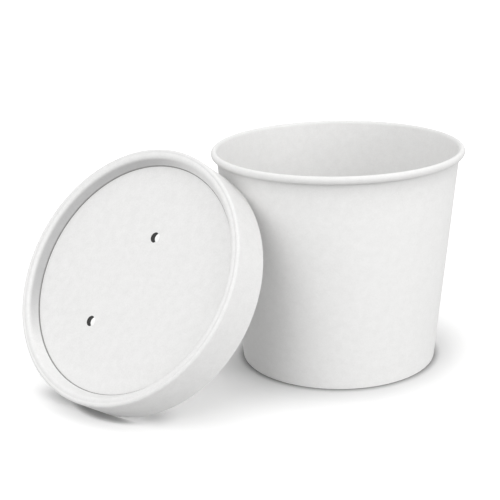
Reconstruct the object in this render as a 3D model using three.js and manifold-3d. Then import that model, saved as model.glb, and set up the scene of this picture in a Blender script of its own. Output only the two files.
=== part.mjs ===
import * as THREE from 'three';
import { mergeVertices } from 'three/addons/utils/BufferGeometryUtils.js';
import Module from 'manifold-3d';

// A round paper soup cup, open and empty, with its recessed paper lid leaning against it.
// Millimetres, +Z up. The cup stands on the floor at z = 0.

// Cup
const RIM_RADIUS = 58.5;
const CUP_HEIGHT = 102.1;
const BASE_RADIUS = 46.2;
const BOARD = 0.7;
const ROLL_RADIUS = 1.75;
const ROLL_NARROWING = 0.82;
const ROLL_END = -116;
const FOLD_HEIGHT = 7.5;
const FOLD_BOARD = 0.6;
const FLOOR_BOARD = 0.5;
const FLOOR_TOP = 9.5;
const SKIRT_FOOT = 1.2;
const PAPER_GAP = 0.2;
const FOOT_ROUNDING = 0.5;

// Lid
const LID_RADIUS = 59.1;
const LID_HEIGHT = 19.4;
const LID_BOARD = 0.6;
const LID_ROUNDING = 1.2;
const RECESS_RADIUS = 54.8;
const RECESS_FOOT_RADIUS = 52.7;
const RECESS_ROUNDING = 1.7;
const RECESS_WALL_TOP = -1.0;
const RECESS_DEPTH = 5.22;
const FOOT_GAP = 0.27;
const FLANGE_TOP = -3.4;

// Vent cuts in the lid, each a blunt crescent whose hollow side faces the lid's +X.
// Each side of a crescent is an arc: half its length, its bulge, and where its ends lie from the vent's place.
const VENT_PLACES = [[5.4, 19.7], [-12.8, -23.4]];
const VENT_OUTER = { half: 2.4, bulge: 2.7, at: -0.3 };
const VENT_INNER = { half: 1.9, bulge: 0.7, at: 0.5 };

// How the lid leans: heading of its outer face, rise of that face above level, centre of its top from the cup's axis
const LID_HEADING = -124.9;
const LID_RISE = 35;
const LID_X = -92.59;
const LID_Y = -56.21;

const SEGMENTS = 64;
const radians = THREE.MathUtils.degToRad;

// Points of an arc in the (radius, height) plane, from one angle to the other in degrees
function arc(r, z, radius, from, to, steps, narrowing = 1) {
  const points = [];
  for (let i = 0; i <= steps; i += 1) {
    const angle = radians(from + ((to - from) * i) / steps);
    points.push([r + narrowing * radius * Math.cos(angle), z + radius * Math.sin(angle)]);
  }
  return points;
}

// Solid of revolution about Z; a ring's profile closes on itself, a disc's starts and ends on the axis
function turned(profile) {
  const points = profile.map(([r, z]) => new THREE.Vector2(r, z));
  if (profile[0][0] > 0) {
    points.push(points[0].clone());
  }
  const solid = new THREE.LatheGeometry(points, SEGMENTS);
  solid.rotateX(Math.PI / 2);
  return solid;
}

// Lines of the cup's wall: it leans out from the base and runs into the rolled rim as a tangent.
// The roll is an oval, higher than wide, so the tangent is found on a round roll and narrowed with it.
const rollR = RIM_RADIUS - ROLL_NARROWING * ROLL_RADIUS;
const rollZ = CUP_HEIGHT - ROLL_RADIUS;
const curlRadius = ROLL_RADIUS - BOARD;
const sideways = (rollR - BASE_RADIUS) / ROLL_NARROWING;
const roundLean = Math.atan2(sideways, rollZ) - Math.asin(curlRadius / Math.hypot(sideways, rollZ));
const lean = Math.atan(ROLL_NARROWING * Math.tan(roundLean));
const wallOuter = (z) => BASE_RADIUS + Math.tan(lean) * z;
const wallInner = (z) => wallOuter(z) - BOARD / Math.cos(lean);

// Side wall: outer face up, round the roll and back, inner face down, then folded inwards round the base's skirt
function cupWall() {
  const tangent = 180 - THREE.MathUtils.radToDeg(roundLean);
  const slotDepth = BOARD + FLOOR_BOARD + 2 * PAPER_GAP;
  const foldDepth = slotDepth + FOLD_BOARD;
  const foot = FOOT_ROUNDING;
  return turned([
    ...arc(wallOuter(foot) - foldDepth + foot, foot, foot, 180, 270, 2),
    ...arc(wallOuter(foot) - foot, foot, foot, 270, 360, 2),
    ...arc(rollR, rollZ, curlRadius, tangent, ROLL_END, 8, ROLL_NARROWING),
    ...arc(rollR, rollZ, ROLL_RADIUS, ROLL_END, tangent, 13, ROLL_NARROWING),
    [wallInner(0.9), 0.9],
    [wallOuter(0.9) - slotDepth, 0.9],
    [wallOuter(FOLD_HEIGHT) - slotDepth, FOLD_HEIGHT],
    [wallOuter(FOLD_HEIGHT) - foldDepth, FOLD_HEIGHT],
  ]);
}

// Bottom disc, set up inside the wall, with its skirt turned down between the wall and the fold
function cupBase() {
  const outer = (z) => wallInner(z) - PAPER_GAP;
  const inner = (z) => outer(z) - FLOOR_BOARD;
  const under = FLOOR_TOP - FLOOR_BOARD;
  return turned([
    [0, under],
    ...arc(inner(under) - 0.5, under - 0.5, 0.5, 90, 0, 2),
    [inner(SKIRT_FOOT), SKIRT_FOOT],
    [outer(SKIRT_FOOT), SKIRT_FOOT],
    ...arc(outer(FLOOR_TOP) - 1, FLOOR_TOP - 1, 1, 0, 90, 3),
    [0, FLOOR_TOP],
  ]);
}

// The recess wall slants from the rim's inner rounding down to its foot
const recessSlope = (RECESS_RADIUS - RECESS_FOOT_RADIUS) / (RECESS_DEPTH - FOOT_GAP + RECESS_WALL_TOP);
const recessLean = Math.atan(recessSlope);
const recessAt = (z) => RECESS_FOOT_RADIUS + recessSlope * (z + RECESS_DEPTH - FOOT_GAP);
const slantwise = (thickness) => thickness / Math.cos(recessLean);

// Lid band: skirt, rounded shoulder, flat rim and recess wall, open underneath to take the cup's roll
function lidBand() {
  const foot = -RECESS_DEPTH + FOOT_GAP;
  const end = 180 - THREE.MathUtils.radToDeg(recessLean);
  const shoulder = LID_RADIUS - LID_ROUNDING;
  const backRounding = LID_ROUNDING - LID_BOARD;
  const lip = RECESS_RADIUS + RECESS_ROUNDING * Math.cos(recessLean);
  return turned([
    [LID_RADIUS - LID_BOARD, -LID_HEIGHT],
    [LID_RADIUS, -LID_HEIGHT],
    ...arc(shoulder, -LID_ROUNDING, LID_ROUNDING, 0, 90, 4),
    ...arc(lip, -RECESS_ROUNDING, RECESS_ROUNDING, 90, end, 3),
    [RECESS_FOOT_RADIUS, foot],
    [RECESS_FOOT_RADIUS + slantwise(LID_BOARD), foot],
    [recessAt(-1.05) + slantwise(LID_BOARD), -1.05],
    [lip - 0.05, -LID_BOARD],
    ...arc(shoulder, -LID_ROUNDING, backRounding, 90, 0, 2),
  ]);
}

// Lid disc: recessed plate with a flange that turns up behind the recess wall
function lidDisc() {
  const top = -RECESS_DEPTH;
  const under = top - LID_BOARD;
  const face = (z) => recessAt(z) + slantwise(LID_BOARD + PAPER_GAP);
  const back = (z) => face(z) + slantwise(LID_BOARD);
  return turned([
    [0, under],
    [back(top) - 0.9, under],
    [back(top) - 0.25, top - 0.4],
    [back(top), top],
    [back(FLANGE_TOP), FLANGE_TOP],
    [face(FLANGE_TOP), FLANGE_TOP],
    [face(top), top],
    [0, top],
  ]);
}

// Points from one end of a vent cut's side to the other, along its arc
function ventEdge({ half, bulge, at }, from, to, steps) {
  const radius = (half ** 2 + bulge ** 2) / (2 * bulge);
  const opening = Math.atan2(half, radius - bulge);
  const points = [];
  for (let i = 0; i <= steps; i += 1) {
    const angle = opening * (from + ((to - from) * i) / steps);
    points.push(new THREE.Vector2(at + radius - bulge - radius * Math.cos(angle), radius * Math.sin(angle)));
  }
  return points;
}

function ventCut([x, y]) {
  const outline = [
    ...ventEdge(VENT_OUTER, 1, -1, 12),
    ...ventEdge(VENT_INNER, -1, 1, 8),
  ];
  const cut = new THREE.ExtrudeGeometry(new THREE.Shape(outline), { depth: 3, bevelEnabled: false });
  cut.translate(x, y, -RECESS_DEPTH - 1.8);
  return cut;
}

const wasm = await Module();
wasm.setup();

function toManifold(geometry) {
  const bare = geometry.clone();
  bare.deleteAttribute('normal');
  bare.deleteAttribute('uv');
  const welded = mergeVertices(bare, 1e-5);
  return new wasm.Manifold(new wasm.Mesh({
    numProp: 3,
    vertProperties: new Float32Array(welded.attributes.position.array),
    triVerts: new Uint32Array(welded.index.array),
  }));
}

function fromManifold(manifold) {
  const mesh = manifold.getMesh();
  const geometry = new THREE.BufferGeometry();
  geometry.setAttribute('position', new THREE.BufferAttribute(new Float32Array(mesh.vertProperties), 3));
  geometry.setIndex(new THREE.BufferAttribute(new Uint32Array(mesh.triVerts), 1));
  geometry.computeVertexNormals();
  return geometry;
}

let disc = toManifold(lidDisc());
for (const place of VENT_PLACES) {
  disc = disc.subtract(toManifold(ventCut(place)));
}

const cupBoard = new THREE.MeshStandardMaterial({ color: 0xf3f2ef, roughness: 0.55, metalness: 0 });
const lidBoard = new THREE.MeshStandardMaterial({ color: 0xf5f4f1, roughness: 0.6, metalness: 0 });

function named(name, geometry, material) {
  const mesh = new THREE.Mesh(geometry, material);
  mesh.name = name;
  return mesh;
}

const cup = new THREE.Group();
cup.add(named('cup_wall', cupWall(), cupBoard));
cup.add(named('cup_base', cupBase(), cupBoard));

// The lid stands on the lowest point of its open edge
const lid = new THREE.Group();
lid.add(named('lid_band', lidBand(), lidBoard));
lid.add(named('lid_disc', fromManifold(disc), lidBoard));
const rise = radians(LID_RISE);
lid.position.set(LID_X, LID_Y, LID_HEIGHT * Math.sin(rise) + LID_RADIUS * Math.cos(rise));
lid.rotation.set(Math.PI / 2 - rise, 0, radians(LID_HEADING + 90), 'ZXY');

// The origin is on the floor, in the middle of the pair
const pair = new THREE.Group();
pair.add(cup);
pair.add(lid);
pair.updateMatrixWorld(true);
const box = new THREE.Box3().setFromObject(pair, true);
pair.position.set(-(box.min.x + box.max.x) / 2, -(box.min.y + box.max.y) / 2, 0);

const soupContainer = new THREE.Group();
soupContainer.add(pair);
soupContainer.updateMatrixWorld(true);

export default soupContainer;
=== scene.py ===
import math

import bmesh
import bpy
from mathutils import Matrix, Vector


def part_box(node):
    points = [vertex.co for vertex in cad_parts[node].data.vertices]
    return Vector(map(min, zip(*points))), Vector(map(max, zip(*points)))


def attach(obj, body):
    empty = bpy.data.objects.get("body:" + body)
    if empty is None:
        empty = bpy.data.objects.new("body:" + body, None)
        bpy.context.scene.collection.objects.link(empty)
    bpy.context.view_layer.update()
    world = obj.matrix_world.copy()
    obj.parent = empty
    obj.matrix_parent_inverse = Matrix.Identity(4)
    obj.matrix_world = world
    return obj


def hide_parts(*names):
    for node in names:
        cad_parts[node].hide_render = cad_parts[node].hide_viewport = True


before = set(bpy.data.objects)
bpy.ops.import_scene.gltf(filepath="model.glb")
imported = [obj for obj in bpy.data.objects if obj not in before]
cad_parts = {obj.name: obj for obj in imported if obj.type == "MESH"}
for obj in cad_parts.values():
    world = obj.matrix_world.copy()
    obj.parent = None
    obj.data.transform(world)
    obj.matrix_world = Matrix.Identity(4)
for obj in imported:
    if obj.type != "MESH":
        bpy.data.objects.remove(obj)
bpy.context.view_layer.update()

# Sizes in millimetres, as in the part's own source
MM = 0.001
RIM_RADIUS = 58.5
CUP_HEIGHT = 102.1
BASE_RADIUS = 46.2
BOARD = 0.7
ROLL_RADIUS = 1.75
ROLL_NARROWING = 0.82
ROLL_END = -116
FOLD_HEIGHT = 7.5
FOLD_BOARD = 0.6
FLOOR_BOARD = 0.5
FLOOR_TOP = 9.5
SKIRT_FOOT = 1.2
PAPER_GAP = 0.2
FOOT_ROUNDING = 0.5
LID_RADIUS = 59.1
LID_HEIGHT = 19.4
LID_BOARD = 0.6
LID_ROUNDING = 1.2
RECESS_RADIUS = 54.8
RECESS_FOOT_RADIUS = 52.7
RECESS_ROUNDING = 1.7
RECESS_WALL_TOP = -1.0
RECESS_DEPTH = 5.22
FOOT_GAP = 0.27
FLANGE_TOP = -3.4
LID_HEADING = math.radians(-124.9)
LID_RISE = math.radians(35)

# Each side of a vent's crescent is an arc: half its length, its bulge,
# and where its ends lie from the vent's place
VENT_PLACES = ((5.4, 19.7), (-12.8, -23.4))
VENT_OUTER = (2.4, 2.7, -0.3)
VENT_INNER = (1.9, 0.7, 0.5)

# Places in the row's frame, in metres: the cup's axis and the centre of the lid's top
wall_low, wall_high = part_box("cup_wall")
CUP_X = (wall_low[0] + wall_high[0]) / 2
CUP_Y = (wall_low[1] + wall_high[1]) / 2
LID_X = CUP_X - 92.59 * MM
LID_Y = CUP_Y - 56.21 * MM
LID_Z = (LID_HEIGHT * math.sin(LID_RISE) + LID_RADIUS * math.cos(LID_RISE)) * MM

# Camera, measured from the middle of the cup's base
CAMERA_DISTANCE = 0.5746
CAMERA_RISE = math.radians(22.982)
CAMERA_YAW = math.radians(-4.524)
CAMERA_PITCH = math.radians(18.035)
CAMERA_ROLL = math.radians(-1.756)
CAMERA_LENS = 83.88
CAMERA_SENSOR = 36

# The lid's own directions: across and up in its outer face, and straight out of it
lid_across = Vector((-math.sin(LID_HEADING), math.cos(LID_HEADING), 0))
lid_up = Vector((
    -math.cos(LID_HEADING) * math.sin(LID_RISE),
    -math.sin(LID_HEADING) * math.sin(LID_RISE),
    math.cos(LID_RISE),
))
lid_face = lid_across.cross(lid_up)
lid_centre = Vector((LID_X, LID_Y, LID_Z))

# Points round each turned shape, and the angle from which an edge is shaded as sharp
SEGMENTS = 288
SHARP_ANGLE = math.radians(38)


# Nodes

def node_tree(name):
    material = bpy.data.materials.new(name)
    material.use_nodes = True
    tree = material.node_tree
    tree.nodes.clear()
    return material, tree


def add(tree, kind, **settings):
    """Node with its settings, each named after a property or an input of the node."""
    node = tree.nodes.new(kind)
    for key, value in settings.items():
        if hasattr(node, key):
            setattr(node, key, value)
        else:
            node.inputs[key.replace("_", " ")].default_value = value
    return node


def noise(tree, where, scale, detail, roughness=0.5):
    node = add(tree, "ShaderNodeTexNoise", Scale=scale, Detail=detail, Roughness=roughness)
    tree.links.new(where, node.inputs["Vector"])
    return node.outputs["Fac"]


def map_range(tree, source, from_low, from_high, to_low=0, to_high=1, kind="LINEAR"):
    node = add(tree, "ShaderNodeMapRange", interpolation_type=kind)
    node.inputs["From Min"].default_value = from_low
    node.inputs["From Max"].default_value = from_high
    node.inputs["To Min"].default_value = to_low
    node.inputs["To Max"].default_value = to_high
    tree.links.new(source, node.inputs["Value"])
    return node.outputs["Result"]


def spread(tree, source, low, high):
    """Maps the middle of a noise to the range from low to high."""
    return map_range(tree, source, 0.3, 0.7, low, high)


def calculate(tree, operation, *values):
    """Result of one operation on numbers and outputs of nodes."""
    node = add(tree, "ShaderNodeMath", operation=operation)
    for socket, value in zip(node.inputs, values):
        if isinstance(value, bpy.types.NodeSocket):
            tree.links.new(value, socket)
        else:
            socket.default_value = value
    return node.outputs[0]


def blend(tree, factor, first, second):
    node = add(tree, "ShaderNodeMix", data_type="RGBA")
    tree.links.new(factor, node.inputs["Factor"])
    node.inputs["A"].default_value = (*first, 1)
    node.inputs["B"].default_value = (*second, 1)
    return node.outputs["Result"]


def ramp_along(tree, where, direction, start, full):
    """Rises from 0 to 1 between two distances from the lid's centre, measured along a direction."""
    along = add(tree, "ShaderNodeVectorMath", operation="DOT_PRODUCT")
    tree.links.new(where, along.inputs[0])
    along.inputs[1].default_value = direction
    centre = direction.dot(lid_centre)
    return map_range(tree, along.outputs["Value"], centre + start, centre + full, kind="SMOOTHSTEP")


def shade_by_height(tree, where, stops):
    """Painted shade by height above the floor; each stop is a height in millimetres and its tone."""
    low, high = stops[0][0], stops[-1][0]
    height = add(tree, "ShaderNodeSeparateXYZ")
    tree.links.new(where, height.inputs[0])
    place = map_range(tree, height.outputs["Z"], low * MM, high * MM)
    ramp = add(tree, "ShaderNodeValToRGB")
    elements = ramp.color_ramp.elements
    for z, _ in stops[1:-1]:
        elements.new((z - low) / (high - low))
    for element, (_, tone) in zip(elements, stops):
        element.color = (tone, tone, tone, 1)
    tree.links.new(place, ramp.inputs["Fac"])
    return ramp.outputs["Color"]


# Board: noise scales of its clouding, specks, fibres and waves, shares of the first two in its colour,
# heights of the relief in metres, and how far the roughness strays from a board's own
CLOUD_SCALE = 300
SPECK_SCALE = 1500
FIBRE_SCALE = 1200
WAVE_SCALE = 70
CLOUD_SHARE = 0.45
SPECK_SHARE = 0.55
FIBRE_HEIGHT = 0.00006
WAVE_HEIGHT = 0.0004
WAVE_STRENGTH = 0.12
SMOOTHER = 0.05
ROUGHER = 0.06
BOARD_SPECULAR = 0.42
COAT_ROUGHNESS = 0.3


def paperboard(name, light, dark, roughness, coat, grain, relief, painted_shade=None, heights=None):
    """White board: faint cloudy mottling in the colour, fine fibres in the relief and an uneven sheen.

    grain scales the fibres' noise along each axis, and relief is their strength.
    The recess tone is painted shade: the board darkens to it at the upper left of the lid's face, deep in
    the recess.
    heights are the stops of a painted shade that changes with height.
    """
    material, tree = node_tree(name)
    out = add(tree, "ShaderNodeOutputMaterial")
    shader = add(tree, "ShaderNodeBsdfPrincipled")
    tree.links.new(shader.outputs["BSDF"], out.inputs["Surface"])
    where = add(tree, "ShaderNodeTexCoord").outputs["Object"]

    cloud = noise(tree, where, CLOUD_SCALE, 3, 0.6)
    speck = noise(tree, where, SPECK_SCALE, 4, 0.6)
    clouding = calculate(tree, "MULTIPLY", cloud, CLOUD_SHARE)
    mottling = calculate(tree, "MULTIPLY_ADD", speck, SPECK_SHARE, clouding)
    colour = blend(tree, spread(tree, mottling, 0, 1), dark, light)
    # Painted shade: the recess wall darkens towards the upper left of the lid's face and deeper in the
    # recess
    if painted_shade:
        aside = ramp_along(tree, where, recess_shade_side, RECESS_SHADE_START, RECESS_SHADE_FULL)
        deep = ramp_along(tree, where, -lid_face, RECESS_SHADE_DEPTH_START, RECESS_SHADE_DEPTH_FULL)
        mix = add(tree, "ShaderNodeMix", data_type="RGBA", blend_type="MULTIPLY")
        tree.links.new(calculate(tree, "MULTIPLY", aside, deep), mix.inputs["Factor"])
        tree.links.new(colour, mix.inputs["A"])
        mix.inputs["B"].default_value = (*painted_shade, 1)
        colour = mix.outputs["Result"]
    # Painted shade under the cup's rolled rim, darker by height
    if heights:
        shaded = add(tree, "ShaderNodeMix", data_type="RGBA", blend_type="MULTIPLY")
        shaded.inputs["Factor"].default_value = 1
        tree.links.new(colour, shaded.inputs["A"])
        tree.links.new(shade_by_height(tree, where, heights), shaded.inputs["B"])
        colour = shaded.outputs["Result"]
    tree.links.new(colour, shader.inputs["Base Color"])
    uneven = spread(tree, cloud, roughness - SMOOTHER, roughness + ROUGHER)
    tree.links.new(uneven, shader.inputs["Roughness"])

    # Fibres are longer along the board's grain, so the noise is stretched before it is raised
    stretch = add(tree, "ShaderNodeMapping")
    stretch.inputs["Scale"].default_value = grain
    tree.links.new(where, stretch.inputs["Vector"])
    fibres = noise(tree, stretch.outputs["Vector"], FIBRE_SCALE, 5, 0.62)
    waves = noise(tree, where, WAVE_SCALE, 2)
    fine = add(tree, "ShaderNodeBump", Strength=relief, Distance=FIBRE_HEIGHT)
    tree.links.new(fibres, fine.inputs["Height"])
    broad = add(tree, "ShaderNodeBump", Strength=WAVE_STRENGTH, Distance=WAVE_HEIGHT)
    tree.links.new(waves, broad.inputs["Height"])
    tree.links.new(fine.outputs["Normal"], broad.inputs["Normal"])
    tree.links.new(broad.outputs["Normal"], shader.inputs["Normal"])

    shader.inputs["Specular IOR Level"].default_value = BOARD_SPECULAR
    shader.inputs["Coat Weight"].default_value = coat
    shader.inputs["Coat Roughness"].default_value = COAT_ROUGHNESS
    return material


# Painted shade on the recess wall: its colour darkens towards one side of the lid's face, and deeper in
# the recess.
# The painted shade rises between two distances from the lid's centre, in metres.
RECESS_PAINTED_SHADE = (0.6, 0.6, 0.605)
RECESS_SHADE_TURN = math.radians(150)
RECESS_SHADE_START = 0.0055
RECESS_SHADE_FULL = 0.042
RECESS_SHADE_DEPTH_START = 0.0002
RECESS_SHADE_DEPTH_FULL = 0.0021
recess_shade_side = math.cos(RECESS_SHADE_TURN) * lid_across + math.sin(RECESS_SHADE_TURN) * lid_up

# Lightest and darkest tone of each board's mottling
CUP_LIGHT = (0.935, 0.933, 0.927)
CUP_DARK = (0.86, 0.857, 0.849)
# The coated inside board is painted darker than the outside, as shade inside the cup
INSIDE_LIGHT_WITH_SHADE = (0.875, 0.873, 0.867)
INSIDE_DARK_WITH_SHADE = (0.80, 0.797, 0.79)
LID_LIGHT = (0.885, 0.883, 0.878)
LID_DARK = (0.795, 0.792, 0.786)
EDGE_LIGHT = (0.80, 0.785, 0.755)
EDGE_DARK = (0.69, 0.67, 0.63)
# The crease round the disc is painted dark, as shade in the gap
CREASE_SHADE_LIGHT = (0.4, 0.397, 0.394)
CREASE_SHADE_DARK = (0.31, 0.308, 0.306)
# The lifted board by each vent is painted whiter, as a highlight
LIFTED_HIGHLIGHT_LIGHT = (0.985, 0.985, 0.98)
LIFTED_HIGHLIGHT_DARK = (0.95, 0.95, 0.945)
# Near black, as painted shade inside the vents
VENT_SHADE_LIGHT = (0.05, 0.05, 0.05)
VENT_SHADE_DARK = (0.03, 0.03, 0.03)

# Painted shade under the rolled rim and on the roll's lower half, where the cup's board is darkened:
# height and tone
RIM_PAINTED_SHADE = (
    (84, 1.0),
    (92, 0.96),
    (95.5, 0.89),
    (97.5, 0.83),
    (98.6, 0.78),
    (99.2, 0.85),
    (100.4, 0.87),
    (101.4, 0.93),
    (102.1, 1.0),
)

# Fibres run up the cup and across the lid, and a cut edge shows the board's layers
UP_THE_CUP = (1, 1, 0.35)
ACROSS_THE_LID = (1, 0.35, 1)
IN_LAYERS = (0.3, 0.3, 4)
NO_GRAIN = (1, 1, 1)

# Each board's roughness, coat, grain and relief
# The cup's outside board carries painted shade under its rolled rim
cup_outside = paperboard("cup_board", CUP_LIGHT, CUP_DARK, 0.5, 0.12, UP_THE_CUP, 0.35, heights=RIM_PAINTED_SHADE)
# Coated board with its own coat and sheen; its darker tone is painted shade inside the cup
cup_inside = paperboard("cup_coated_board", INSIDE_LIGHT_WITH_SHADE, INSIDE_DARK_WITH_SHADE, 0.42, 0.3, UP_THE_CUP, 0.2)
lid_board = paperboard("lid_board", LID_LIGHT, LID_DARK, 0.55, 0.06, ACROSS_THE_LID, 0.4)
# The recess wall's board, painted darker at the upper left as shade
recess_board_painted_shade = paperboard(
    "lid_recess_painted_shade", LID_LIGHT, LID_DARK, 0.6, 0.0, ACROSS_THE_LID, 0.4, painted_shade=RECESS_PAINTED_SHADE
)
cut_edge = paperboard("cut_edge", EDGE_LIGHT, EDGE_DARK, 0.75, 0.0, IN_LAYERS, 0.8)
crease_painted_shade = paperboard("lid_crease_painted_shade", CREASE_SHADE_LIGHT, CREASE_SHADE_DARK, 0.8, 0.0, NO_GRAIN, 0.4)
lifted_board_painted_highlight = paperboard("lid_lifted_painted_highlight", LIFTED_HIGHLIGHT_LIGHT, LIFTED_HIGHLIGHT_DARK, 0.5, 0.06, ACROSS_THE_LID, 0.4)
painted_vent_shade = paperboard("vent_painted_shade", VENT_SHADE_LIGHT, VENT_SHADE_DARK, 0.8, 0.0, NO_GRAIN, 0.3)


# Turned shapes

def arc(r, z, radius, start, end, steps, narrowing=1):
    """Points of an arc in the (radius, height) plane, between two angles in degrees."""
    points = []
    for i in range(steps + 1):
        angle = math.radians(start + (end - start) * i / steps)
        points.append((r + narrowing * radius * math.cos(angle), z + radius * math.sin(angle)))
    return points


def straight(first, last, steps):
    """Points between two points, without either of them."""
    points = []
    for i in range(1, steps):
        t = i / steps
        points.append((first[0] + (last[0] - first[0]) * t, first[1] + (last[1] - first[1]) * t))
    return points


def turned(name, profile, angles, shift=None, marks=None):
    """Piece made by turning a profile about Z.

    shift(index, r, z, angle) says how far a point moves out, and marks(index) gives faces their material.
    """
    shape = bmesh.new()
    rings = []
    for index, (r, z) in enumerate(profile):
        if r <= 0:
            rings.append([shape.verts.new((0, 0, z * MM))])
            continue
        ring = []
        for angle in angles:
            out = r + (shift(index, r, z, angle) if shift else 0)
            place = (out * math.cos(angle) * MM, out * math.sin(angle) * MM, z * MM)
            ring.append(shape.verts.new(place))
        rings.append(ring)
    closed = profile[0][0] > 0
    count = len(rings)
    around = len(angles)
    for i in range(count if closed else count - 1):
        a, b = rings[i], rings[(i + 1) % count]
        for j in range(around):
            k = (j + 1) % around
            if len(a) == 1:
                corners = (a[0], b[k], b[j])
            elif len(b) == 1:
                corners = (a[j], a[k], b[0])
            else:
                corners = (a[j], a[k], b[k], b[j])
            face = shape.faces.new(corners)
            face.smooth = True
            face.material_index = marks(i) if marks else 0
    bmesh.ops.recalc_face_normals(shape, faces=shape.faces)
    mesh = bpy.data.meshes.new(name)
    shape.to_mesh(mesh)
    shape.free()
    mesh.set_sharp_from_angle(angle=SHARP_ANGLE)
    piece = bpy.data.objects.new(name, mesh)
    bpy.context.collection.objects.link(piece)
    return piece


def even_angles(extra=()):
    """Even steps round the circle, with some more angles where a seam needs them."""
    angles = [2 * math.pi * i / SEGMENTS for i in range(SEGMENTS)]
    angles += [a % (2 * math.pi) for a in extra]
    return sorted(set(round(a, 6) for a in angles))


def smooth(t):
    """Rises from 0 to 1 as t does, level at both ends."""
    t = min(1, max(0, t))
    return t * t * (3 - 2 * t)


# Cup: the wall leans out from the base and runs into the oval rolled rim as a tangent
roll_r = RIM_RADIUS - ROLL_NARROWING * ROLL_RADIUS
roll_z = CUP_HEIGHT - ROLL_RADIUS
curl_radius = ROLL_RADIUS - BOARD
sideways = (roll_r - BASE_RADIUS) / ROLL_NARROWING
round_lean = math.atan2(sideways, roll_z) - math.asin(curl_radius / math.hypot(sideways, roll_z))
lean = math.atan(ROLL_NARROWING * math.tan(round_lean))


def wall_outer(z):
    return BASE_RADIUS + math.tan(lean) * z


def wall_inner(z):
    return wall_outer(z) - BOARD / math.cos(lean)


# The side seam: its place, the step at its edge, the width of the lap and the wall's radius halfway up it,
# and the heights at which the step ends below the roll and above the foot, with the lengths of its fading
SEAM_ANGLE = math.radians(172)
SEAM_STEP = 0.3
SEAM_WIDTH = 7.0
SEAM_RADIUS = 52
SEAM_TOP = 99.5
SEAM_TOP_FADE = 5
SEAM_FOOT = 2
SEAM_FOOT_FADE = 3

# Angle between the two points of a step, and the height of the fold's inner bottom
SEAM_EDGE = 0.0004
SLOT_FOOT = 0.9


def make_cup_wall():
    tangent = 180 - math.degrees(round_lean)
    slot = BOARD + FLOOR_BOARD + 2 * PAPER_GAP
    fold = slot + FOLD_BOARD
    foot = FOOT_ROUNDING
    fold_arc = arc(wall_outer(foot) - fold + foot, foot, foot, 180, 270, 5)
    foot_arc = arc(wall_outer(foot) - foot, foot, foot, 270, 360, 5)
    curl = arc(roll_r, roll_z, curl_radius, tangent, ROLL_END, 20, ROLL_NARROWING)
    outside = straight(foot_arc[-1], curl[0], 26)
    roll = arc(roll_r, roll_z, ROLL_RADIUS, ROLL_END, tangent, 34, ROLL_NARROWING)
    inside_foot = (wall_inner(SLOT_FOOT), SLOT_FOOT)
    inside = straight(roll[-1], inside_foot, 26)
    profile = [
        *fold_arc,
        *foot_arc,
        *outside,
        *curl,
        *roll,
        *inside,
        inside_foot,
        (wall_outer(SLOT_FOOT) - slot, SLOT_FOOT),
        (wall_outer(FOLD_HEIGHT) - slot, FOLD_HEIGHT),
        (wall_outer(FOLD_HEIGHT) - fold, FOLD_HEIGHT),
    ]
    outside_start = len(fold_arc) + len(foot_arc)
    outside_end = outside_start + len(outside)
    roll_start = outside_end + len(curl)
    inside_start = roll_start + len(roll)
    inside_end = inside_start + len(inside)
    # The coated side of the board begins just past the roll's top
    coating_start = roll_start + 26

    def seam(index, r, z, angle):
        """The side seam: one edge of the board laps over the other."""
        along = (angle - SEAM_ANGLE) * r
        fade = smooth((SEAM_TOP - z) / SEAM_TOP_FADE)
        if outside_start <= index < outside_end and along <= 0:
            foot_fade = smooth((z - SEAM_FOOT) / SEAM_FOOT_FADE)
            return SEAM_STEP * fade * smooth((along + 2 * SEAM_WIDTH) / SEAM_WIDTH) * foot_fade
        if inside_start <= index < inside_end and along >= -SEAM_WIDTH:
            return -SEAM_STEP * fade * (1 - smooth(along / SEAM_WIDTH))
        return 0

    def marks(i):
        if i == roll_start - 1 or i == len(profile) - 2:
            return 2
        return 1 if i >= coating_start else 0

    near = [SEAM_ANGLE + s for s in (-0.28, -0.2, -0.06, 0.0, SEAM_EDGE, 0.05, 0.12)]
    inner_edge = SEAM_ANGLE - SEAM_WIDTH / SEAM_RADIUS
    near += [inner_edge - SEAM_EDGE, inner_edge]
    piece = turned("cup_wall_board", profile, even_angles(near), seam, marks)
    for material in (cup_outside, cup_inside, cut_edge):
        piece.data.materials.append(material)
    piece.data.transform(Matrix.Translation((CUP_X, CUP_Y, 0)))
    return piece


# The bottom disc sags a little towards its middle. Its edge stays flat, below and above, and bends down.
BASE_SAG = 0.35
BASE_SAG_RADIUS = 44
FLAT_BELOW = 1.6
FLAT_ABOVE = 1.7
INNER_BEND = 0.5
OUTER_BEND = 1.0


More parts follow.
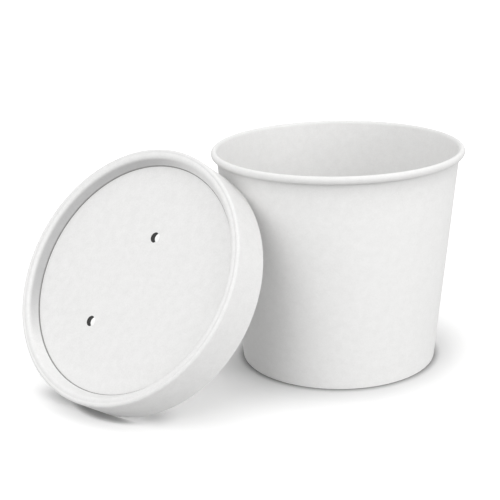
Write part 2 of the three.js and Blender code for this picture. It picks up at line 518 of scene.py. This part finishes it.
def make_cup_base():
    def outer(z):
        return wall_inner(z) - PAPER_GAP

    def inner(z):
        return outer(z) - FLOOR_BOARD

    under = FLOOR_TOP - FLOOR_BOARD
    rings = (0, 6, 12, 18, 24, 30, 36, 40)
    below = [(r, under - BASE_SAG * (1 - (r / BASE_SAG_RADIUS) ** 2)) for r in rings]
    above = [(r, z + FLOOR_BOARD) for r, z in reversed(below)]
    inner_bend = arc(inner(under) - INNER_BEND, under - INNER_BEND, INNER_BEND, 90, 0, 4)
    profile = [
        *below,
        (inner(under) - FLAT_BELOW, under),
        *inner_bend,
        (inner(SKIRT_FOOT), SKIRT_FOOT),
        (outer(SKIRT_FOOT), SKIRT_FOOT),
        *arc(outer(FLOOR_TOP) - OUTER_BEND, FLOOR_TOP - OUTER_BEND, OUTER_BEND, 0, 90, 6),
        (inner(under) - FLAT_ABOVE, FLOOR_TOP),
        *above,
    ]
    skirt_foot = len(below) + 1 + len(inner_bend)

    def marks(i):
        if i == skirt_foot:
            return 2
        return 0 if i < skirt_foot else 1

    piece = turned("cup_bottom_disc", profile, even_angles(), marks=marks)
    for material in (cup_outside, cup_inside, cut_edge):
        piece.data.materials.append(material)
    piece.data.transform(Matrix.Translation((CUP_X, CUP_Y, 0)))
    return piece


# Lid: the recess wall slants from the rim's inner rounding down to its foot
recess_slope = (RECESS_RADIUS - RECESS_FOOT_RADIUS) / (RECESS_DEPTH - FOOT_GAP + RECESS_WALL_TOP)
recess_lean = math.atan(recess_slope)


def recess_at(z):
    return RECESS_FOOT_RADIUS + recess_slope * (z + RECESS_DEPTH - FOOT_GAP)


def slantwise(thickness):
    """Width, measured level, of a sheet that leans with the recess wall."""
    return thickness / math.cos(recess_lean)


# The skirt's glued lap: its place, the step at its edge, its width,
# and the height at which the step ends below the shoulder, with the length of its fading
LID_SEAM_ANGLE = math.radians(118)
LID_SEAM_STEP = 0.22
LID_SEAM_WIDTH = 6.0
LID_SEAM_TOP = -1.4
LID_SEAM_FADE = 2

# The band's blunt foot, and the top of the recess wall's hidden side with its step under the rim
SKIRT_BEVEL = 0.2
BACK_TOP = -1.05
BACK_STEP = 0.05

# Width of the crease round the disc, which is painted dark as shade, and the pressed line on the lid's rim
CREASE = 0.34
GROOVE = ((57.75, -0.03), (57.6, -0.13), (57.4, -0.2), (57.15, -0.18), (56.85, -0.06))

# The disc bends up into its flange: how far in from the flange's outer side the bend starts,
# and how far in and down its middle lies
BEND_START = 0.9
BEND_ACROSS = 0.25
BEND_DOWN = 0.4

# How far a vent's cutter reaches past the disc's top, up and down
CUT_ABOVE = 1
CUT_BELOW = 2

# The dark block painted as shade in a vent: its foot and top, measured up from the disc's underside
SHADE_FOOT = 0.05
SHADE_HEIGHT = 0.5

# The lifted board beside a vent: how far it stands up and reaches at its middle and at its ends,
# and how far it is sunk into the disc
TONGUE_RISE = 0.34
TONGUE_END_RISE = 0.005
TONGUE_LENGTH = 1.9
TONGUE_END_LENGTH = 0.1
TONGUE_SUNK = 0.1


def make_lid_band():
    foot = -RECESS_DEPTH + FOOT_GAP
    end = 180 - math.degrees(recess_lean)
    shoulder = LID_RADIUS - LID_ROUNDING
    lip = RECESS_RADIUS + RECESS_ROUNDING * math.cos(recess_lean)
    skirt_inner = LID_RADIUS - LID_BOARD
    skirt_foot = (LID_RADIUS, -LID_HEIGHT + SKIRT_BEVEL)
    skirt = straight(skirt_foot, (LID_RADIUS, -LID_ROUNDING), 10)
    shoulder_arc = arc(shoulder, -LID_ROUNDING, LID_ROUNDING, 0, 90, 9)
    lip_arc = arc(lip, -RECESS_ROUNDING, RECESS_ROUNDING, 90, end, 8)
    wall = straight((RECESS_RADIUS, RECESS_WALL_TOP), (RECESS_FOOT_RADIUS, foot), 6)
    profile = [
        (skirt_inner, -LID_HEIGHT),
        (LID_RADIUS - SKIRT_BEVEL, -LID_HEIGHT),
        skirt_foot,
        *skirt,
        *shoulder_arc,
        *GROOVE,
        *lip_arc,
        *wall,
        (recess_at(foot + CREASE), foot + CREASE),
        (RECESS_FOOT_RADIUS, foot),
        (RECESS_FOOT_RADIUS + slantwise(LID_BOARD), foot),
        (recess_at(BACK_TOP) + slantwise(LID_BOARD), BACK_TOP),
        (lip - BACK_STEP, -LID_BOARD),
        *arc(shoulder, -LID_ROUNDING, LID_ROUNDING - LID_BOARD, 90, 0, 5),
        *straight((skirt_inner, -LID_ROUNDING), (skirt_inner, -LID_HEIGHT), 10),
    ]
    skirt_end = 3 + len(skirt)
    lip_start = skirt_end + len(shoulder_arc) + len(GROOVE)
    # The recess board, with its painted shade, takes in the last stretch of the lip's rounding
    wall_start = lip_start + 6
    foot_index = lip_start + len(lip_arc) + len(wall) + 1

    def seam(index, r, z, angle):
        """The skirt's glued lap: sunk on one side of the cut edge so that the lid stays as wide."""
        along = (angle - LID_SEAM_ANGLE) * r
        if 2 <= index < skirt_end and 0 <= along <= 2 * LID_SEAM_WIDTH:
            fade = smooth((LID_SEAM_TOP - z) / LID_SEAM_FADE)
            return -LID_SEAM_STEP * (1 - smooth((along - LID_SEAM_WIDTH) / LID_SEAM_WIDTH)) * fade
        return 0

    def marks(i):
        if i in (0, foot_index):
            return 1
        # The face at the recess foot takes the crease's painted shade
        if i == foot_index - 1:
            return 3
        return 2 if wall_start <= i < foot_index - 1 else 0

    near = [LID_SEAM_ANGLE + s for s in (-SEAM_EDGE, 0.0, 0.05, 0.1, 0.15, 0.21)]
    piece = turned("lid_band_board", profile, even_angles(near), seam, marks)
    for material in (lid_board, cut_edge, recess_board_painted_shade, crease_painted_shade):
        piece.data.materials.append(material)
    return piece


def vent_edge(side, start, end, steps):
    """Points from one end of a vent cut's side to the other, along its arc."""
    half, bulge, at = side
    radius = (half ** 2 + bulge ** 2) / (2 * bulge)
    opening = math.atan2(half, radius - bulge)
    points = []
    for i in range(steps + 1):
        angle = opening * (start + (end - start) * i / steps)
        points.append((at + radius - bulge - radius * math.cos(angle), radius * math.sin(angle)))
    return points


def finished(shape, name, slot):
    """Piece of a shape whose faces all have the material in one slot."""
    bmesh.ops.recalc_face_normals(shape, faces=shape.faces)
    for face in shape.faces:
        face.material_index = slot
    mesh = bpy.data.meshes.new(name)
    shape.to_mesh(mesh)
    shape.free()
    piece = bpy.data.objects.new(name, mesh)
    bpy.context.collection.objects.link(piece)
    return piece


def prism(name, outline, place, low, high, slot):
    """Upright block with the outline of a vent, between two heights."""
    shape = bmesh.new()
    points = [((place[0] + x) * MM, (place[1] + y) * MM) for x, y in outline]
    bottom = [shape.verts.new((x, y, low * MM)) for x, y in points]
    top = [shape.verts.new((x, y, high * MM)) for x, y in points]
    shape.faces.new(bottom)
    shape.faces.new(top)
    for i in range(len(outline)):
        k = (i + 1) % len(outline)
        shape.faces.new((bottom[i], bottom[k], top[k], top[i]))
    return finished(shape, name, slot)


def vent_tongue(place, top):
    """The board on a vent's hollow side stands up a little, slopes back into the disc and is painted
    whiter as a highlight.
    """
    edge = vent_edge(VENT_INNER, 1, -1, 20)
    shape = bmesh.new()
    rows = []
    for i, (x, y) in enumerate(edge):
        t = 2 * i / (len(edge) - 1) - 1
        height = TONGUE_RISE * (1 - t * t)
        far = x + TONGUE_END_LENGTH + TONGUE_LENGTH * math.sqrt(max(0, 1 - t * t))
        low, high = top - TONGUE_SUNK, top + TONGUE_END_RISE
        corners = ((x, low), (x, high + height), (far, high), (far, low))
        row = [((place[0] + px) * MM, (place[1] + y) * MM, pz * MM) for px, pz in corners]
        rows.append([shape.verts.new(corner) for corner in row])
    for a, b in zip(rows, rows[1:]):
        for i in range(4):
            k = (i + 1) % 4
            shape.faces.new((a[i], a[k], b[k], b[i]))
    shape.faces.new(rows[0])
    shape.faces.new(rows[-1])
    return finished(shape, "vent_tongue", 4)


def make_lid_disc():
    top = -RECESS_DEPTH
    under = top - LID_BOARD

    def face(z):
        return recess_at(z) + slantwise(LID_BOARD + PAPER_GAP)

    def back(z):
        return face(z) + slantwise(LID_BOARD)

    inner_rings = (10, 20, 30, 40, 47)
    profile = [
        (0, under),
        *[(r, under) for r in inner_rings],
        (back(top) - BEND_START, under),
        (back(top) - BEND_ACROSS, top - BEND_DOWN),
        (back(top), top),
        (back(FLANGE_TOP), FLANGE_TOP),
        (face(FLANGE_TOP), FLANGE_TOP),
        (face(top), top),
        (RECESS_FOOT_RADIUS - CREASE / 2, top),
        *[(r, top) for r in reversed(inner_rings)],
        (0, top),
    ]
    # The ring round the disc's edge takes the crease's painted shade
    crease_index = len(profile) - len(inner_rings) - 3

    def marks(i):
        return 3 if i == crease_index else 0

    piece = turned("lid_disc_board", profile, even_angles(), marks=marks)
    for material in (lid_board, cut_edge, painted_vent_shade, crease_painted_shade, lifted_board_painted_highlight):
        piece.data.materials.append(material)
    outline = vent_edge(VENT_OUTER, 1, -1, 32) + vent_edge(VENT_INNER, -1, 1, 24)
    additions = []
    for x, y in VENT_PLACES:
        cutter = prism("vent_cut", outline, (x, y), top - CUT_BELOW, top + CUT_ABOVE, 1)
        for material in (lid_board, cut_edge):
            cutter.data.materials.append(material)
        cut = piece.modifiers.new("vent", "BOOLEAN")
        cut.operation = "DIFFERENCE"
        cut.solver = "EXACT"
        cut.object = cutter
        bpy.context.view_layer.objects.active = piece
        bpy.ops.object.modifier_apply(modifier=cut.name)
        bpy.data.objects.remove(cutter, do_unlink=True)
        # A dark block under each cut, painted shade seen through the vent
        additions.append(prism("vent_painted_shade", outline, (x, y), under + SHADE_FOOT, under + SHADE_HEIGHT, 2))
        additions.append(vent_tongue((x, y), top))
    shape = bmesh.new()
    shape.from_mesh(piece.data)
    for extra in additions:
        shape.from_mesh(extra.data)
        bpy.data.objects.remove(extra, do_unlink=True)
    shape.to_mesh(piece.data)
    shape.free()
    return piece


def lid_matrix():
    """Takes the lid from lying face up at the origin to leaning on the cup."""
    heading = LID_HEADING + math.pi / 2
    turn = Matrix.Rotation(heading, 4, "Z") @ Matrix.Rotation(math.pi / 2 - LID_RISE, 4, "X")
    return Matrix.Translation((LID_X, LID_Y, LID_Z)) @ turn


cup_wall = make_cup_wall()
cup_base = make_cup_base()
lid_band = make_lid_band()
lid_disc = make_lid_disc()
for piece in (lid_band, lid_disc):
    piece.data.transform(lid_matrix())
bpy.context.view_layer.update()

for piece, node, slot in (
    (cup_wall, "cup_wall", "cup_board"),
    (cup_base, "cup_base", "cup_board"),
    (lid_band, "lid_band", "lid_board"),
    (lid_disc, "lid_disc", "lid_board"),
):
    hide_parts(node)
    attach(piece, "root")


# Floor: one sheet that the camera sees, and just under it one that gives the object softer bounced light.
# Each has its tone and its height, in metres like all sizes here.
FLOOR_HALF = 6.0
FLOOR_SEEN = 1.22
FLOOR_SEEN_Z = -0.00005
FLOOR_BOUNCE = 0.63
FLOOR_BOUNCE_Z = -0.0001

# Shade close under the object: its reach, how open the darkest place still is, and the tone left there
CONTACT_REACH = 0.0042
CONTACT_OPEN = 0.3
CONTACT_LEAST = 0.4

# Shade round the cup's foot: its width, and the share of the floor's tone that it takes at the foot
CUP_SHADE_WIDTH = 0.043
CUP_SHADE = 0.39

# Soft patches of shade beside the lid's foot: place from the foot, half length, half width and depth
LID_FOOT = (LID_X - 0.0103, LID_Y - 0.0148)
LID_SHADES = (
    ((-0.023, 0.002), 0.027, 0.0105, 0.55),
    ((0.02, 0.0096), 0.014, 0.012, 0.3),
)

# The floor's own glow: its strength far off, and the distances from the origin between which it rises
FLOOR_GLOW = 0.45
GLOW_START = 0.22
GLOW_FULL = 0.75


def floor_sheet(name, height):
    """Large level square that is stage and no part of the object."""
    shape = bmesh.new()
    corners = ((-1, -1), (1, -1), (1, 1), (-1, 1))
    shape.faces.new([shape.verts.new((x * FLOOR_HALF, y * FLOOR_HALF, height)) for x, y in corners])
    mesh = bpy.data.meshes.new(name)
    shape.to_mesh(mesh)
    shape.free()
    sheet = bpy.data.objects.new(name, mesh)
    bpy.context.collection.objects.link(sheet)
    return sheet


def contact_shade(tree):
    """Tone of the floor close under the object: dark where a piece is within reach, else 1."""
    free = add(tree, "ShaderNodeAmbientOcclusion", samples=16)
    free.inputs["Distance"].default_value = CONTACT_REACH
    return map_range(tree, free.outputs["AO"], CONTACT_OPEN, 1, CONTACT_LEAST, 1, "SMOOTHSTEP")


def cup_shade(tree, where):
    """Soft shade on the floor round the cup's foot, quickest close to it."""
    offset = add(tree, "ShaderNodeVectorMath", operation="DISTANCE")
    tree.links.new(where, offset.inputs[0])
    offset.inputs[1].default_value = (CUP_X, CUP_Y, 0)
    foot = BASE_RADIUS * MM
    near = map_range(tree, offset.outputs["Value"], foot, foot + CUP_SHADE_WIDTH, 1, 0)
    square = calculate(tree, "MULTIPLY", near, near)
    return calculate(tree, "MULTIPLY_ADD", square, -CUP_SHADE, 1)


def patch_shade(tree, where, place, length, width, depth):
    """Oval patch of shade on the floor along the lid's foot: full in its middle, none past its edge."""
    turn = LID_HEADING + math.pi / 2
    along, across = place
    x = LID_FOOT[0] + along * math.cos(turn) - across * math.sin(turn)
    y = LID_FOOT[1] + along * math.sin(turn) + across * math.cos(turn)
    oval = add(tree, "ShaderNodeMapping", vector_type="TEXTURE")
    oval.inputs["Location"].default_value = (x, y, 0)
    oval.inputs["Rotation"].default_value = (0, 0, turn)
    oval.inputs["Scale"].default_value = (length, width, 1)
    tree.links.new(where, oval.inputs["Vector"])
    away = add(tree, "ShaderNodeVectorMath", operation="LENGTH")
    tree.links.new(oval.outputs["Vector"], away.inputs[0])
    return map_range(tree, away.outputs["Value"], 0, 1, 1 - depth, 1, "SMOOTHSTEP")


def floor_material(name, tone, glow):
    """Matt white. Far from the object the glow takes over, so the backdrop stays even."""
    material, tree = node_tree(name)
    out = add(tree, "ShaderNodeOutputMaterial")
    matt = add(tree, "ShaderNodeBsdfDiffuse")
    matt.inputs["Color"].default_value = (tone, tone, tone, 1)
    if not glow:
        tree.links.new(matt.outputs["BSDF"], out.inputs["Surface"])
        return material
    where = add(tree, "ShaderNodeTexCoord").outputs["Object"]
    share = calculate(tree, "MULTIPLY", contact_shade(tree), cup_shade(tree, where))
    for patch in LID_SHADES:
        share = calculate(tree, "MULTIPLY", share, patch_shade(tree, where, *patch))
    scaled = add(tree, "ShaderNodeVectorMath", operation="SCALE")
    scaled.inputs[0].default_value = (tone, tone, tone)
    tree.links.new(share, scaled.inputs["Scale"])
    tree.links.new(scaled.outputs[0], matt.inputs["Color"])
    length = add(tree, "ShaderNodeVectorMath", operation="LENGTH")
    tree.links.new(where, length.inputs[0])
    far = map_range(tree, length.outputs["Value"], GLOW_START, GLOW_FULL, 0, glow, "SMOOTHSTEP")
    shine = add(tree, "ShaderNodeEmission")
    tree.links.new(far, shine.inputs["Strength"])
    both = add(tree, "ShaderNodeAddShader")
    tree.links.new(matt.outputs["BSDF"], both.inputs[0])
    tree.links.new(shine.outputs["Emission"], both.inputs[1])
    tree.links.new(both.outputs["Shader"], out.inputs["Surface"])
    return material


floor_seen = floor_sheet("floor_seen", FLOOR_SEEN_Z)
floor_seen.data.materials.append(floor_material("floor_seen_white", FLOOR_SEEN, FLOOR_GLOW))
floor_seen.visible_diffuse = False
floor_seen.visible_glossy = False
floor_seen.visible_transmission = False
floor_seen.visible_shadow = False
floor_bounce = floor_sheet("floor_bounce", FLOOR_BOUNCE_Z)
floor_bounce.data.materials.append(floor_material("floor_bounce_white", FLOOR_BOUNCE, 0))
floor_bounce.visible_camera = False


# Lights: name, place, the point aimed at, width and power
LIGHTS = (
    ("key_light", (-1.5, -2.6, 2.2), (-0.03, 0, 0.05), 2.4, 20),
    ("right_light", (2.6, -1.8, 1.4), (0.02, 0, 0.05), 2.0, 28),
    ("top_light", (-0.5, -0.5, 3.0), (0, 0, 0.05), 1.5, 4),
)
WORLD_LIGHT = 0.84


def area_light(name, place, aim, size, power):
    light = bpy.data.lights.new(name, "AREA")
    light.shape = "DISK"
    light.size = size
    light.energy = power
    lamp = bpy.data.objects.new(name, light)
    lamp.location = place
    lamp.rotation_mode = "QUATERNION"
    lamp.rotation_quaternion = (Vector(aim) - Vector(place)).to_track_quat("-Z", "Y")
    bpy.context.collection.objects.link(lamp)


for light in LIGHTS:
    area_light(*light)

world = bpy.data.worlds.new("studio")
world.use_nodes = True
background = world.node_tree.nodes["Background"]
background.inputs["Color"].default_value = (1, 1, 1, 1)
background.inputs["Strength"].default_value = WORLD_LIGHT
bpy.context.scene.world = world
bpy.context.scene.view_settings.view_transform = "Standard"


# Camera
def make_camera():
    sin_yaw, cos_yaw = math.sin(CAMERA_YAW), math.cos(CAMERA_YAW)
    sin_pitch, cos_pitch = math.sin(CAMERA_PITCH), math.cos(CAMERA_PITCH)
    ahead = Vector((sin_yaw * cos_pitch, cos_yaw * cos_pitch, -sin_pitch))
    level = ahead.cross(Vector((0, 0, 1))).normalized()
    upright = level.cross(ahead)
    right = math.cos(CAMERA_ROLL) * level + math.sin(CAMERA_ROLL) * upright
    up = math.cos(CAMERA_ROLL) * upright - math.sin(CAMERA_ROLL) * level
    data = bpy.data.cameras.new("camera")
    data.sensor_width = CAMERA_SENSOR
    data.lens = CAMERA_LENS
    data.clip_start = 0.01
    data.clip_end = 50
    camera = bpy.data.objects.new("camera", data)
    turn = Matrix((right, up, -ahead)).transposed().to_4x4()
    back = CAMERA_DISTANCE * math.cos(CAMERA_RISE)
    rise = CAMERA_DISTANCE * math.sin(CAMERA_RISE)
    camera.matrix_world = Matrix.Translation((CUP_X, CUP_Y - back, rise)) @ turn
    bpy.context.collection.objects.link(camera)
    bpy.context.scene.camera = camera


make_camera()
bpy.context.view_layer.update()
